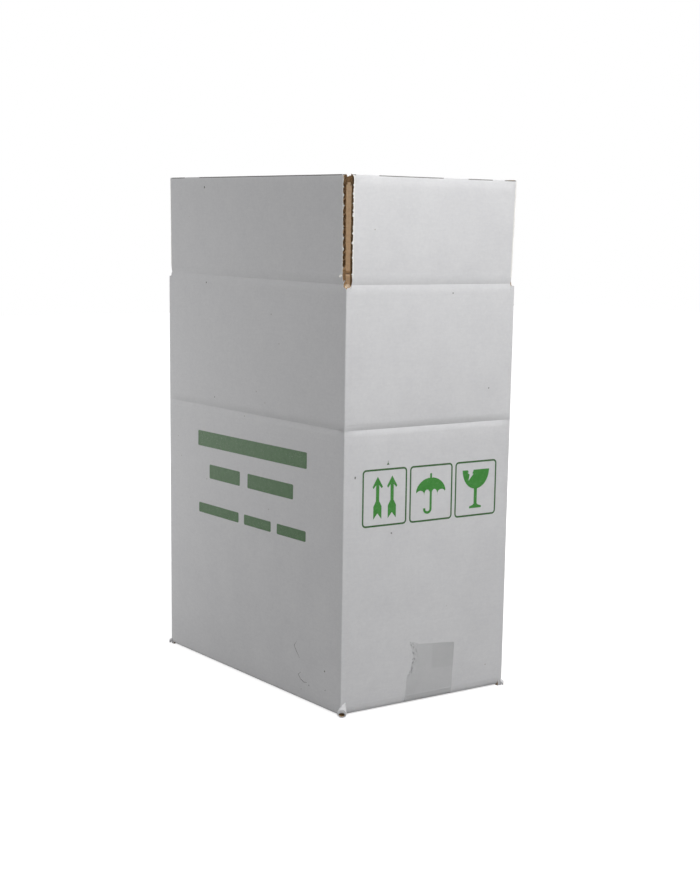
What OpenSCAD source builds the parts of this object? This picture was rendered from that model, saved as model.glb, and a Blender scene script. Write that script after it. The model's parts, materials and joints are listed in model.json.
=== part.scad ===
// Slotted shipping box in white-lined corrugated board, in millimetres.
// One blank is folded into four panels, closed below by four taped flaps and
// open above, where four flaps stand up from their creases.
// The origin is on the floor under the middle of the box, with +Z up,
// X along the long panels and Y along the end panels.

/* [Case] */
// Outside length of the long panels
case_l = 266; // [230:1:340]
// Outside width of the end panels
case_w = 164; // [130:1:220]
// Height of the long panels' top crease above the floor
case_h = 331.6; // [280:0.1:420]
// Height of the crease for cutting the box down, round all four panels
mid_crease_h = 222; // [90:1:250]
// Outside radius of the folded upright corners
corner_r = 2.5; // [1.5:0.1:4]

/* [Board] */
// Thickness of the corrugated board
board_t = 3.2; // [2.8:0.1:4]
// Thickness of each facing liner
liner_t = 0.35; // [0.2:0.05:0.5]
// Thickness of the fluted paper between the liners
medium_t = 0.3; // [0.2:0.05:0.4]
// Distance from one flute crest to the next
flute_pitch = 5.5; // [4.5:0.1:7.5]
// Width of the glued crest, where a flute meets its liner
crest_w = 1.1; // [0.8:0.1:1.6]

/* [Flaps] */
// Width of the slot cut between two flaps at a corner
slot_w = 8; // [7.5:0.5:16]
// Depth of the slots below the end panels' crease
slot_overcut = 1.5; // [0.5:0.1:4]
// Gap between the free edges of the two long flaps once closed
seam_gap = 4.6; // [0.4:0.1:6]
// Outward lean of the two long flaps, in degrees
side_lean = 0.3; // [0:0.1:8]
// Outward lean of the two end flaps, in degrees
end_lean = 2; // [0:0.1:8]
// Play between the long flaps and the end flaps that they close over
stack_gap = 0.2; // [0.1:0.05:1]

/* [Creases] */
// Depth of the fold line under the outer face
fold_d = 1.2; // [0.8:0.05:1.6]
// Radius of the rolled fold that a flap turns on
fold_r = 0.7; // [0.4:0.05:0.8]
// Angle that a flap can fold outwards from upright, in degrees
fold_out = 140; // [90:1:150]
// Angle that a flap can fold inwards from upright, in degrees
fold_in = 93; // [91:1:100]
// Play round the rolled fold of a flap
fold_play = 0.08; // [0.05:0.01:0.2]
// Length of board pressed flat beside a fold line
crush_len = 5; // [4:0.5:8]
// Width of the dip that the cut-down crease presses into a panel
groove_w = 10; // [6:0.5:16]
// Depth of that dip at the crease line
groove_d = 0.6; // [0.3:0.05:1]

/* [Bottom] */
// Outside radius of the bottom folds
bottom_fold_r = 3; // [2:0.1:4.5]
// Drop of the raw corner tips below the long bottom flaps
tip_drop = 0.3; // [0.2:0.05:1]

/* [Glued joint] */
// Width of the glue tab inside the rear left corner
tab_w = 35; // [25:1:45]
// Distance from the ends of the glue tab to the folds
tab_end_gap = 6; // [3:0.5:15]
// Slope of the glue tab's ends, as a rise over its width
tab_rise = 8; // [0:0.5:15]
// Width of the open line beside the raw edge of the joint
joint_line_w = 0.4; // [0.2:0.05:1]
// Thickness of board left at the bottom of that line
joint_web_t = 0.6; // [0.4:0.1:1.2]

/* [Tape] */
// Width of the sealing tape
tape_w = 48; // [38:1:75]
// Thickness of the sealing tape
tape_t = 0.12; // [0.08:0.01:0.18]
// Height that the tape ends reach up the end panels
tape_leg_h = 46; // [25:1:90]

/* [Hidden] */
$fn = 48;

board_white = [0.86, 0.86, 0.87];
tape_grey = [0.78, 0.78, 0.8, 0.6];

half_l = case_l / 2;
half_w = case_w / 2;
slot_half = slot_w / 2;
side_span = case_l - slot_w;
end_span = case_w - slot_w;

// The long flaps close over the end flaps, so their creases are one board higher.
score_step = board_t + stack_gap;
side_crease_z = case_h;
end_crease_z = case_h - score_step;
slot_end_z = end_crease_z - slot_overcut;

// All flaps end on one straight cut of the blank.
side_flap_len = half_w - fold_d - seam_gap / 2;
end_flap_len = side_flap_len + score_step;

// The two bevels of a fold line share its full angle with the flap.
bevel_out = fold_d * tan(fold_out / 2);
bevel_in = (board_t - fold_d) * tan(fold_in / 2);

under_z = tip_drop;
end_fold_z = under_z + board_t;
floor_z = end_fold_z + board_t;
side_bottom_len = half_w - seam_gap / 2;
end_bottom_len = side_bottom_len + board_t;

wave_amp = board_t / 2 - liner_t - medium_t / 2;
pocket_half = (flute_pitch - crest_w) / 2;
pocket_steps = 8;
cut_past = 1;
skim = 0.02;
above = 2 * score_step + bevel_in;

// Depth of the fluted paper's middle, s up from the cut edge
function wave(s) = board_t / 2 + wave_amp * cos(360 * s / flute_pitch);

// Point on a circle of the x-z plane
function on_circle(c, r, a) = [c[0] + r * cos(a), c[1] + r * sin(a)];

// The open channels of the flutes, against the outer and the inner liner
module flute_channels(len) {
    count = floor((len - crush_len - pocket_half) / flute_pitch);
    for (k = [0 : count])
        polygon(concat(
            [[liner_t, len - k * flute_pitch - pocket_half]],
            [for (i = [0 : pocket_steps])
                let (s = (2 * i / pocket_steps - 1) * pocket_half)
                [wave(s) - medium_t / 2, len - k * flute_pitch + s]],
            [[liner_t, len - k * flute_pitch + pocket_half]]));
    for (k = [0 : count - 1])
        polygon(concat(
            [[board_t - liner_t, len - (k + 0.5) * flute_pitch - pocket_half]],
            [for (i = [0 : pocket_steps])
                let (s = (2 * i / pocket_steps - 1) * pocket_half)
                [wave(flute_pitch / 2 + s) + medium_t / 2, len - (k + 0.5) * flute_pitch + s]],
            [[board_t - liner_t, len - (k + 0.5) * flute_pitch + pocket_half]]));
}

// Section of a flap: x is the depth under its outer face, y the height over its fold line
module flap_section(len) {
    difference() {
        polygon([
            [fold_d, 0],
            [0, bevel_out],
            [0, len],
            [board_t, len],
            [board_t, bevel_in]]);
        flute_channels(len);
    }
}

// Section of the rolled fold that a flap turns on
module fold_section() {
    translate([fold_d, 0]) circle(r = fold_r);
}

// Space above a panel's fold line, with the bevels that let its flap swing
module fold_clearance() {
    steep_out = bevel_out / fold_d;
    steep_in = bevel_in / (board_t - fold_d);
    polygon([
        [fold_d, 0],
        [-cut_past, -bevel_out - cut_past * steep_out],
        [-cut_past, above],
        [board_t + cut_past, above],
        [board_t + cut_past, -bevel_in - cut_past * steep_in]]);
    translate([fold_d, 0]) circle(r = fold_r + fold_play);
}

// A section stood up behind the plane y = -half_depth and drawn out along X
module along_panel(half_depth, z, span) {
    translate([0, -half_depth, z])
        rotate([90, 0, 90])
            linear_extrude(height = span, center = true)
                children();
}

// A flap that leans outwards about its fold line
module standing_flap(half_depth, crease_z, span, len, lean) {
    color(board_white)
        translate([0, fold_d - half_depth, crease_z])
            rotate([lean, 0, 0])
                translate([0, half_depth - fold_d, 0]) {
                    along_panel(half_depth, 0, span) flap_section(len);
                    along_panel(half_depth, 0, span) fold_section();
                }
}

module side_flap() {
    standing_flap(half_w, side_crease_z, side_span, side_flap_len, side_lean);
}

module end_flap() {
    standing_flap(half_l, end_crease_z, end_span, end_flap_len, end_lean);
}

module front_flap() {
    side_flap();
}

module back_flap() {
    rotate([0, 0, 180]) side_flap();
}

module right_flap() {
    rotate([0, 0, 90]) end_flap();
}

module left_flap() {
    rotate([0, 0, -90]) end_flap();
}

// Outline of the four folded panels, with one square corner at the glued joint
module case_outline() {
    square([case_l - 2 * corner_r, case_w], center = true);
    square([case_l, case_w - 2 * corner_r], center = true);
    for (x = [-1, 1], y = [-1, 1])
        translate([x * (half_l - corner_r), y * (half_w - corner_r)])
            circle(r = corner_r);
    translate([-half_l, half_w - board_t]) square(board_t);
}

module case_panels() {
    linear_extrude(height = case_h)
        difference() {
            case_outline();
            square([case_l - 2 * board_t, case_w - 2 * board_t], center = true);
        }
}

// A bottom flap folded in flat, with its cut edge at len from the panel's outer face
module closed_flap(half_depth, z, span, len) {
    along_panel(half_depth, z, span)
        mirror([1, -1])
            difference() {
                square([board_t, len]);
                flute_channels(len);
            }
}

// The bottom flaps: the end pair lies inside, the long pair closes below it
module bottom_flaps() {
    for (turn = [0, 180])
        rotate([0, 0, turn]) {
            closed_flap(half_w, under_z, side_span, side_bottom_len);
            rotate([0, 0, 90])
                closed_flap(half_l, end_fold_z, end_span, end_bottom_len);
        }
}

// The tab folded from the back panel and glued inside the left end panel
module glue_tab() {
    low = floor_z + tab_end_gap;
    high = end_crease_z - bevel_in - tab_end_gap;
    translate([board_t - half_l, half_w - board_t, 0])
        rotate([90, 0, 90])
            linear_extrude(height = board_t)
                polygon([
                    [0, low],
                    [0, high],
                    [-tab_w, high - tab_rise],
                    [-tab_w, low + tab_rise]]);
}

// The open line beside the raw edge of the left end panel, on the back
module joint_line() {
    translate([board_t - half_l, half_w - board_t + joint_web_t, -cut_past])
        cube([joint_line_w, board_t, case_h + 2 * cut_past]);
}

// The dip of the cut-down crease: x is the depth under the outer face.
// Its two round flanks meet in a sharp line.
module crease_dip() {
    half = groove_w / 2;
    flank_r = (half * half + groove_d * groove_d) / (2 * groove_d);
    difference() {
        translate([-cut_past, -half]) square([cut_past + 2 * groove_d, groove_w]);
        for (side = [-1, 1])
            translate([flank_r + skim, side * half]) circle(r = flank_r, $fn = 360);
    }
}

// The cut-down crease runs round all four panels
module mid_crease() {
    for (turn = [0, 180])
        rotate([0, 0, turn]) {
            along_panel(half_w, mid_crease_h, case_l + 2 * cut_past) crease_dip();
            rotate([0, 0, 90])
                along_panel(half_l, mid_crease_h, case_w + 2 * cut_past) crease_dip();
        }
}

// What the top creases and the four slots leave open
module top_cuts() {
    for (turn = [0, 180])
        rotate([0, 0, turn]) {
            along_panel(half_w, side_crease_z, side_span) fold_clearance();
            rotate([0, 0, 90])
                along_panel(half_l, end_crease_z, end_span) fold_clearance();
        }
    for (x = [-1, 1], y = [-1, 1])
        translate([x * half_l, y * half_w, slot_end_z + above])
            cube([slot_w, slot_w, 2 * above], center = true);
}

// Board outside a round bottom fold: x is the depth under the outer face
module round_fold() {
    difference() {
        translate([-cut_past, -board_t - under_z - cut_past])
            square([cut_past + bottom_fold_r, bottom_fold_r + board_t + under_z + cut_past]);
        translate([bottom_fold_r, bottom_fold_r]) circle(r = bottom_fold_r);
        translate([bottom_fold_r, 0])
            square(bottom_fold_r);
    }
}

// What the bottom folds take off the panels between the corner tips
module bottom_cuts() {
    for (turn = [0, 180])
        rotate([0, 0, turn]) {
            along_panel(half_w, under_z, side_span) round_fold();
            rotate([0, 0, 90])
                along_panel(half_l, end_fold_z, end_span) round_fold();
            translate([half_l - slot_half, -end_span / 2, -cut_past])
                cube([slot_half + cut_past, end_span, end_fold_z + cut_past]);
        }
}

module box_body() {
    color(board_white)
        difference() {
            union() {
                case_panels();
                bottom_flaps();
                glue_tab();
            }
            joint_line();
            mid_crease();
            top_cuts();
            bottom_cuts();
        }
}

// Half of the tape's line, from the middle of the bottom to the top of its leg.
// It leaves the long flaps' ends on a tangent to the end panel's round fold.
function tape_half(offset) =
    let (
        lift = [half_l - slot_half, under_z],
        c = [half_l - bottom_fold_r, end_fold_z + bottom_fold_r],
        d = c - lift,
        a = atan2(d[1], d[0]) - asin(bottom_fold_r / norm(d)),
        steps = 6,
        step = (90 - a) / steps,
        r = bottom_fold_r / cos(step / 2) + offset)
    concat(
        [[0, under_z - offset]],
        [[lift[0] + offset * tan(a / 2), under_z - offset]],
        [on_circle(c, bottom_fold_r + offset, a - 90)],
        [for (i = [0 : steps - 1]) on_circle(c, r, a - 90 + (i + 0.5) * step)],
        [[half_l + offset, c[1]]],
        [[half_l + offset, tape_leg_h]]);

// One strip of tape along the bottom seam and up both end panels
module sealing_tape() {
    inner = tape_half(0);
    outer = tape_half(tape_t);
    last = len(inner) - 1;
    color(tape_grey)
        rotate([90, 0, 0])
            linear_extrude(height = tape_w, center = true)
                polygon(concat(
                    [for (i = [last : -1 : 0]) [-inner[i][0], inner[i][1]]],
                    [for (i = [1 : last]) inner[i]],
                    [for (i = [last : -1 : 0]) outer[i]],
                    [for (i = [1 : last]) [-outer[i][0], outer[i][1]]]));
}

box_body();
front_flap();
back_flap();
right_flap();
left_flap();
sealing_tape();
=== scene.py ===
import json
import math
import random

import bmesh
import bpy
from mathutils import Matrix, Vector, noise


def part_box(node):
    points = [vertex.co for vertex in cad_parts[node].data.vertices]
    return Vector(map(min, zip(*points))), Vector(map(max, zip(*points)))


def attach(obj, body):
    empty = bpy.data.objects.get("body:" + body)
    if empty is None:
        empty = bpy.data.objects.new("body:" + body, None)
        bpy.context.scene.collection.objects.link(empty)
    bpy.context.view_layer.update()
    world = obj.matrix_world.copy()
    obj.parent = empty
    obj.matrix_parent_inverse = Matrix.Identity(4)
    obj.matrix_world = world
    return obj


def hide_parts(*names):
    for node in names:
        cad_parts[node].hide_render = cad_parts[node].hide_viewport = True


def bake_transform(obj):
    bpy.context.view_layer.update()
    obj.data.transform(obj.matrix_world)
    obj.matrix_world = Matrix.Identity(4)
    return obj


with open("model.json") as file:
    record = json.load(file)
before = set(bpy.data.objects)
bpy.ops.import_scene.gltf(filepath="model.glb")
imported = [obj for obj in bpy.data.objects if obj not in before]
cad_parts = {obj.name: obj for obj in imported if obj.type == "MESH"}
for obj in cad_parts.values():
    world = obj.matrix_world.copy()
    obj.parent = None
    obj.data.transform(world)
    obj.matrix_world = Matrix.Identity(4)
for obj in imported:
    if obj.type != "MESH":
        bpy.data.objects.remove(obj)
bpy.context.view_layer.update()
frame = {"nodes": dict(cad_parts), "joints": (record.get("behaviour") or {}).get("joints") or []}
mm = 0.001
close = 0.05 * mm  # slack when a point is looked for at a known place
scene = bpy.context.scene
scene.view_settings.view_transform = "Standard"
joints = {j["name"]: j for j in frame["joints"]}
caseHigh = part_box("box_body")[1]
xAxis, yAxis, up = Vector((1, 0, 0)), Vector((0, 1, 0)), Vector((0, 0, 1))
print("frame:", sorted(frame["nodes"]))

# fitted to the photograph, which is cropped low, hence the shift
camera = {"place": (1.09902, -0.76819, 0.3718), "azimuth": 54.354, "elevation": 10.726, "roll": 0.851,
          "lens": 66.039, "sensor": 36, "shift": 0.11}


def makeCamera():
    az, el, roll = (math.radians(camera[k]) for k in ("azimuth", "elevation", "roll"))
    forward = Vector((-math.sin(az) * math.cos(el), math.cos(az) * math.cos(el), -math.sin(el)))
    side = Vector((math.cos(az), math.sin(az), 0))
    top = side.cross(forward)
    turn = Matrix((side, top, -forward)).transposed() @ Matrix.Rotation(roll, 3, "Z")
    lensData = bpy.data.cameras.new("photoCamera")
    lensData.lens = camera["lens"]
    lensData.sensor_width = camera["sensor"]
    lensData.shift_y = camera["shift"]
    eye = bpy.data.objects.new("photoCamera", lensData)
    eye.matrix_world = Matrix.Translation(camera["place"]) @ turn.to_4x4()
    scene.collection.objects.link(eye)
    scene.camera = eye


makeCamera()
print("camera set")


# small helpers shared by every piece
boardAngle, paperAngle = 35, 60  # degrees; an edge sharper than this isn't shaded smooth
knifeSlack = 0.0005 * mm


def linear(hexValue):  # sRGB hex to the linear colour a shader wants
    parts = [int(hexValue[i:i + 2], 16) / 255 for i in (1, 3, 5)]
    return tuple(c / 12.92 if c <= 0.04045 else ((c + 0.055) / 1.055) ** 2.4 for c in parts) + (1.0,)


def plug(tree, node, values):  # by name or in order; sockets are linked, plain values are set
    for socket, value in values.items() if isinstance(values, dict) else enumerate(values):
        if isinstance(value, bpy.types.NodeSocket):
            tree.links.new(value, node.inputs[socket])
        else:
            node.inputs[socket].default_value = value


def addNode(tree, kind, values, out=0, **settings):  # hands back one of the node's outputs
    node = tree.nodes.new("ShaderNode" + kind)
    for key, value in settings.items():
        setattr(node, key, value)
    plug(tree, node, values)
    return node.outputs[out]


def newMaterial(name):  # with the place on the object, which every pattern is laid out by
    mat = bpy.data.materials.new(name)
    mat.use_nodes = True
    tree = mat.node_tree
    return mat, tree, tree.nodes["Principled BSDF"], addNode(tree, "TexCoord", {}, "Object")


def smooth(t):
    t = min(1.0, max(0.0, t))
    return t * t * (3 - 2 * t)


def noiseAt(x, y, z):
    return noise.noise(Vector((x, y, z)))


def toObject(bm, name, materials, sharpAngle=boardAngle):
    limit = math.radians(sharpAngle)
    for edge in bm.edges:
        edge.smooth = edge.smooth and (len(edge.link_faces) != 2 or edge.calc_face_angle(0) < limit)
    for face in bm.faces:
        face.smooth = True
    mesh = bpy.data.meshes.new(name)
    bm.to_mesh(mesh)
    bm.free()
    for mat in materials:
        mesh.materials.append(mat)
    obj = bpy.data.objects.new(name, mesh)
    scene.collection.objects.link(obj)
    return obj


# knife cuts square to a direction, on the faces that are wanted
def cutRows(bm, direction, places, wanted=None):
    for place in places:
        faces = [f for f in bm.faces if wanted is None or wanted(f)]
        geom = set(faces)
        for f in faces:
            geom.update(f.edges)
            geom.update(f.verts)
        bmesh.ops.bisect_plane(bm, geom=list(geom), dist=knifeSlack, plane_co=direction * place,
                plane_no=direction)


def faceTowards(bm, direction):  # turns a whole sheet over if it faces away
    bm.normal_update()
    if sum(f.normal.dot(direction) * f.calc_area() for f in bm.faces) < 0:
        bmesh.ops.reverse_faces(bm, faces=bm.faces)


# white-top testliner: bleached pulp over brown, pressed flat on the paper machine; matt, faintly cloudy,
# with brown shives and the flutes ghosting through; fibres lie level, drawn coarser than they are, to show
linerLook = {"bright": "#DEDEDF", "dull": "#D2D2D4", "shive": "#9A948B", "cloudMm": 30, "mottleMm": 2.4,
             "fibreMm": 1.5, "fibreRun": (0.22, 0.22, 1.0), "flutePitchMm": 5.5, "shiveCellMm": 22,
             "roughness": 0.66, "glossSpread": 0.06, "ior": 1.47}


def makeWhiteLiner():
    mat, tree, skin, place = newMaterial("white-top testliner, machine pressed")
    look = linerLook
    cloud = addNode(tree, "TexNoise", {"Vector": place, "Scale": 1000 / look["cloudMm"], "Detail": 5.0,
            "Roughness": 0.62})
    along = addNode(tree, "Mapping", {"Vector": place, "Scale": look["fibreRun"]})
    fibre = addNode(tree, "TexNoise", {"Vector": along, "Scale": 1000 / look["fibreMm"], "Detail": 3.0,
            "Roughness": 0.7})
    mottle = addNode(tree, "TexNoise", {"Vector": place, "Scale": 1000 / look["mottleMm"], "Detail": 3.0,
            "Roughness": 0.6})
    tone = 0.0
    for pattern, weight in ((fibre, 0.3), (cloud, 0.5), (mottle, 0.35)):
        tone = addNode(tree, "Math", (pattern, weight, tone), operation="MULTIPLY_ADD")
    tone = addNode(tree, "MapRange", (tone, 0.38, 0.78, 1.0, 0.0))
    paper = addNode(tree, "Mix", {0: tone, 6: linear(look["bright"]), 7: linear(look["dull"])}, out=2,
            data_type="RGBA")
    cells = addNode(tree, "TexVoronoi", {"Vector": place, "Scale": 1000 / look["shiveCellMm"]})
    spot = addNode(tree, "MapRange", (cells, 0.018, 0.032, 0.75, 0.0))
    paper = addNode(tree, "Mix", {0: spot, 6: paper, 7: linear(look["shive"])}, out=2, data_type="RGBA")
    rough, spread = look["roughness"], look["glossSpread"]
    gloss = addNode(tree, "MapRange", (cloud, 0.3, 0.7, rough - spread, rough + spread))
    # a wave's bands lie pi / 10 apart at scale 1
    ridge = addNode(tree, "TexWave", {"Vector": place, "Scale": math.pi / (10 * look["flutePitchMm"] * mm),
            "Distortion": 1.2, "Detail": 2.0, "Detail Scale": 0.6}, out="Fac", bands_direction="Z")
    washboard = addNode(tree, "Bump", {"Height": ridge, "Strength": 1.0, "Distance": 0.014 * mm})
    grain = addNode(tree, "Bump", {"Height": fibre, "Strength": 0.6, "Distance": 0.03 * mm,
            "Normal": washboard})
    plug(tree, skin, {"Base Color": paper, "Roughness": gloss, "Normal": grain, "IOR": look["ior"]})
    return mat


# brown kraft liner: unbleached long fibres, matt, streaky, with the flutes' glue lines ghosting through
kraftLook = {"light": "#E5D1B6", "dark": "#CDB598", "cloudMm": 14, "fibreMm": 1.1,
             "fibreRun": (0.25, 0.25, 1.0), "flutePitchMm": 5.5, "roughness": 0.78, "ior": 1.47}


def makeKraftLiner():
    mat, tree, skin, place = newMaterial("kraft liner, unbleached")
    look = kraftLook
    cloud = addNode(tree, "TexNoise", {"Vector": place, "Scale": 1000 / look["cloudMm"], "Detail": 5.0,
            "Roughness": 0.6})
    along = addNode(tree, "Mapping", {"Vector": place, "Scale": look["fibreRun"]})
    fibre = addNode(tree, "TexNoise", {"Vector": along, "Scale": 1000 / look["fibreMm"], "Detail": 4.0,
            "Roughness": 0.7})
    ridge = addNode(tree, "TexWave", {"Vector": place, "Scale": math.pi / (10 * look["flutePitchMm"] * mm),
            "Distortion": 1.0, "Detail": 2.0}, out="Fac", bands_direction="Z")
    tone = 0.0
    for pattern, weight in ((fibre, 0.6), (cloud, 0.6), (ridge, 0.07)):
        tone = addNode(tree, "Math", (pattern, weight, tone), operation="MULTIPLY_ADD")
    tone = addNode(tree, "MapRange", (tone, 0.4, 0.86))
    paper = addNode(tree, "Mix", {0: tone, 6: linear(look["light"]), 7: linear(look["dark"])}, out=2,
            data_type="RGBA")
    washboard = addNode(tree, "Bump", {"Height": ridge, "Strength": 1.0, "Distance": 0.05 * mm})
    grain = addNode(tree, "Bump", {"Height": fibre, "Strength": 0.7, "Distance": 0.08 * mm,
            "Normal": washboard})
    plug(tree, skin, {"Base Color": paper, "Normal": grain, "Roughness": look["roughness"],
            "IOR": look["ior"]})
    return mat


# recycled fluting medium on a knife-cut edge: open fibres, darker than the liner because light is lost in the
# flutes; a darker copy is painted shade, where the score crushed it and in the folds, and on scraps in shade
mediumLook = {"light": "#B4966F", "dark": "#775939", "shadedLight": "#9A7A53", "shadedDark": "#452F1C",
              "fibreMm": 0.7, "roughness": 0.9}


def makeFlutingMedium(name, light, dark):
    mat, tree, skin, place = newMaterial(name)
    fibre = addNode(tree, "TexNoise", {"Vector": place, "Scale": 1000 / mediumLook["fibreMm"], "Detail": 4.0,
            "Roughness": 0.75})
    tone = addNode(tree, "MapRange", (fibre, 0.36, 0.64))
    paper = addNode(tree, "Mix", {0: tone, 6: linear(dark), 7: linear(light)}, out=2, data_type="RGBA")
    grain = addNode(tree, "Bump", {"Height": fibre, "Strength": 0.9, "Distance": 0.25 * mm})
    plug(tree, skin, {"Base Color": paper, "Normal": grain, "Roughness": mediumLook["roughness"]})
    return mat


# water-based flexo ink on uncoated liner: flat green, soaked in, so it mottles and leaves pinholes where the
# paper is low; thin rules print darker
inkLook = {"full": "#37822F", "thin": "#448E3D", "bare": "#B9C9B4", "lineFull": "#345C2E",
           "lineThin": "#41693B", "mottleMm": 3.0, "pinholeMm": 0.7, "roughness": 0.58}


def makeFlexoInk(name, full, thin):
    mat, tree, skin, place = newMaterial(name)
    mottle = addNode(tree, "TexNoise", {"Vector": place, "Scale": 1000 / inkLook["mottleMm"], "Detail": 4.0,
            "Roughness": 0.65})
    tone = addNode(tree, "MapRange", (mottle, 0.35, 0.68))
    ink = addNode(tree, "Mix", {0: tone, 6: linear(full), 7: linear(thin)}, out=2, data_type="RGBA")
    pin = addNode(tree, "TexNoise", {"Vector": place, "Scale": 1000 / inkLook["pinholeMm"], "Detail": 2.0,
            "Roughness": 0.5})
    hole = addNode(tree, "MapRange", (pin, 0.66, 0.74, 0.0, 0.6))
    ink = addNode(tree, "Mix", {0: hole, 6: ink, 7: linear(inkLook["bare"])}, out=2, data_type="RGBA")
    grain = addNode(tree, "Bump", {"Height": mottle, "Strength": 0.4, "Distance": 0.03 * mm})
    plug(tree, skin, {"Base Color": ink, "Normal": grain, "Roughness": inkLook["roughness"]})
    return mat


# biaxially drawn polypropylene film with acrylic glue: clear, slightly grey over white board, smooth, with
# fine pull lines along the tape and trapped air; its crumples carry painted shade and painted glints
# the darkest grey is painted shade in the crumples and the near-white a painted glint
tapeLook = {"wet": "#B4B6B5", "dry": "#CBCCCC", "dark": "#85878A", "paintedGlint": "#FAFAFA", "alphaWet": 0.13,
            "alphaDry": 0.075, "alphaCrumple": 0.17, "pullMm": 1.6, "pullRun": (0.12, 1.0, 0.12), "airMm": 7,
            "roughness": 0.34, "ior": 1.49}


def makeTapeFilm():
    mat, tree, skin, place = newMaterial("polypropylene film, drawn")
    look = tapeLook
    along = addNode(tree, "Mapping", {"Vector": place, "Scale": look["pullRun"]})
    pull = addNode(tree, "TexNoise", {"Vector": along, "Scale": 1000 / look["pullMm"], "Detail": 3.0})
    air = addNode(tree, "TexNoise", {"Vector": place, "Scale": 1000 / look["airMm"], "Detail": 5.0,
            "Roughness": 0.7})
    # 1 where the glue has wetted the board, 0 over trapped air; past 1 painted shade in a crease, under 0 a
    # painted glint
    pressed = addNode(tree, "Attribute", {}, "Fac", attribute_name="pressed")
    tone = addNode(tree, "MapRange", (air, 0.35, 0.65, -0.15, 0.15))
    tone = addNode(tree, "Math", {0: pressed, 1: tone}, operation="ADD", use_clamp=True)
    film = addNode(tree, "Mix", {0: tone, 6: linear(look["dry"]), 7: linear(look["wet"])}, out=2,
            data_type="RGBA")
    # painted shade in the crumples' creases
    creaseShade = addNode(tree, "MapRange", (pressed, 1.1, 1.8))
    # a painted glint on the crumples
    paintedGlint = addNode(tree, "MapRange", (pressed, -0.2, -0.9))
    for share, colour in ((creaseShade, look["dark"]), (paintedGlint, look["paintedGlint"])):
        film = addNode(tree, "Mix", {0: share, 6: film, 7: linear(colour)}, out=2, data_type="RGBA")
    cover = addNode(tree, "MapRange", {"Value": tone, "To Min": look["alphaDry"], "To Max": look["alphaWet"]})
    crumple = addNode(tree, "Math", {0: creaseShade, 1: paintedGlint}, operation="MAXIMUM")
    cover = addNode(tree, "Math", {0: crumple, 1: look["alphaCrumple"], 2: cover}, operation="MULTIPLY_ADD")
    line = addNode(tree, "Bump", {"Height": pull, "Strength": 0.5, "Distance": 0.06 * mm})
    plug(tree, skin, {"Base Color": film, "Alpha": cover, "Normal": line, "Roughness": look["roughness"],
            "IOR": look["ior"]})
    return mat


# dirt and rubbed fibres: dust pressed into the liner by handling, matt and dark, never quite black
scuffLook = {"main": "#5F5E5C", "other": "#8B8A88", "fibreMm": 0.5, "roughness": 0.85}
# torn bleached fibre: pulp pulled out from under the liner's smooth skin, fluffy, whiter than the sheet, and
# whiter still as a painted highlight, for torn edges that face away from the lamps
fluffHighlightLook = {"main": "#FAF9F6", "other": "#E6E4DE", "fibreMm": 0.6, "roughness": 0.95}


def makeLooseFibre(name, look):
    mat, tree, skin, place = newMaterial(name)
    fibre = addNode(tree, "TexNoise", {"Vector": place, "Scale": 1000 / look["fibreMm"], "Detail": 3.0})
    tone = addNode(tree, "Mix", {0: fibre, 6: linear(look["main"]), 7: linear(look["other"])}, out=2,
            data_type="RGBA")
    plug(tree, skin, {"Base Color": tone, "Roughness": look["roughness"]})
    return mat


whiteLiner = makeWhiteLiner()
kraftLiner = makeKraftLiner()
flutingMedium = makeFlutingMedium("fluting medium, knife cut", mediumLook["light"], mediumLook["dark"])
# a darker copy of the medium: painted shade
shadedMedium = makeFlutingMedium("fluting medium, darkened as painted shade", mediumLook["shadedLight"],
                                  mediumLook["shadedDark"])
flexoInk = makeFlexoInk("water-based flexo ink, printed solid", inkLook["full"], inkLook["thin"])
flexoLine = makeFlexoInk("water-based flexo ink, squeezed into lines", inkLook["lineFull"],
                         inkLook["lineThin"])
tapeFilm = makeTapeFilm()
rubbedDirt = makeLooseFibre("dirt in paper, rubbed in", scuffLook)
tornFibreHighlight = makeLooseFibre("bleached fibre, torn, with painted highlight", fluffHighlightLook)
boardFinishes = [whiteLiner, kraftLiner, flutingMedium, shadedMedium, rubbedDirt]
# the fourth slot holds the medium darkened as painted shade
outerFace, innerFace, cutFace, shadedCutFace, darkLipFace = range(5)  # the face slots that these finishes fill
print("materials made")

# the four walls, seen square from outside: out points at the viewer, along runs to the viewer's right; sizes
# are in millimetres, and pairs are for the flap's left and right end: its lean in degrees, what wear trimmed
# off it, the line where the crease shows above the fold, and the skew, how much longer it was cut there
board = {"thick": 3.2 * mm, "midCrease": 222 * mm, "ripple": 0.16 * mm, "fade": 14 * mm, "cell": 12 * mm}
panels = {
    "front": {"out": (0, -1, 0), "along": (1, 0, 0), "bow": 0.9, "flapCurl": 0.3, "ends": (0.2, 0.3),
              "trim": (0.2, 1.3), "line": (0.6, -1.0), "skew": (1.9, 0.3), "seed": 3.1},
    "right": {"out": (1, 0, 0), "along": (0, 1, 0), "bow": 0.5, "flapCurl": -0.4, "ends": (0.5, 2.1),
              "trim": (1.3, 0.1), "line": (2.2, 2.2), "skew": (0.2, 0.1), "seed": 7.7},
    "back": {"out": (0, 1, 0), "along": (-1, 0, 0), "bow": 1.0, "flapCurl": 0.4, "ends": (0.8, 0.0),
             "trim": (0.3, 0.6), "line": (-1.0, -0.6), "skew": (0.6, 2.3), "seed": 12.4},
    "left": {"out": (-1, 0, 0), "along": (0, -1, 0), "bow": 0.6, "flapCurl": -0.4, "ends": (1.5, 2.1),
             "trim": (0.5, 0.3), "line": (2.0, 2.2), "skew": (0.2, 0.6), "seed": 18.9},
}
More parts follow.
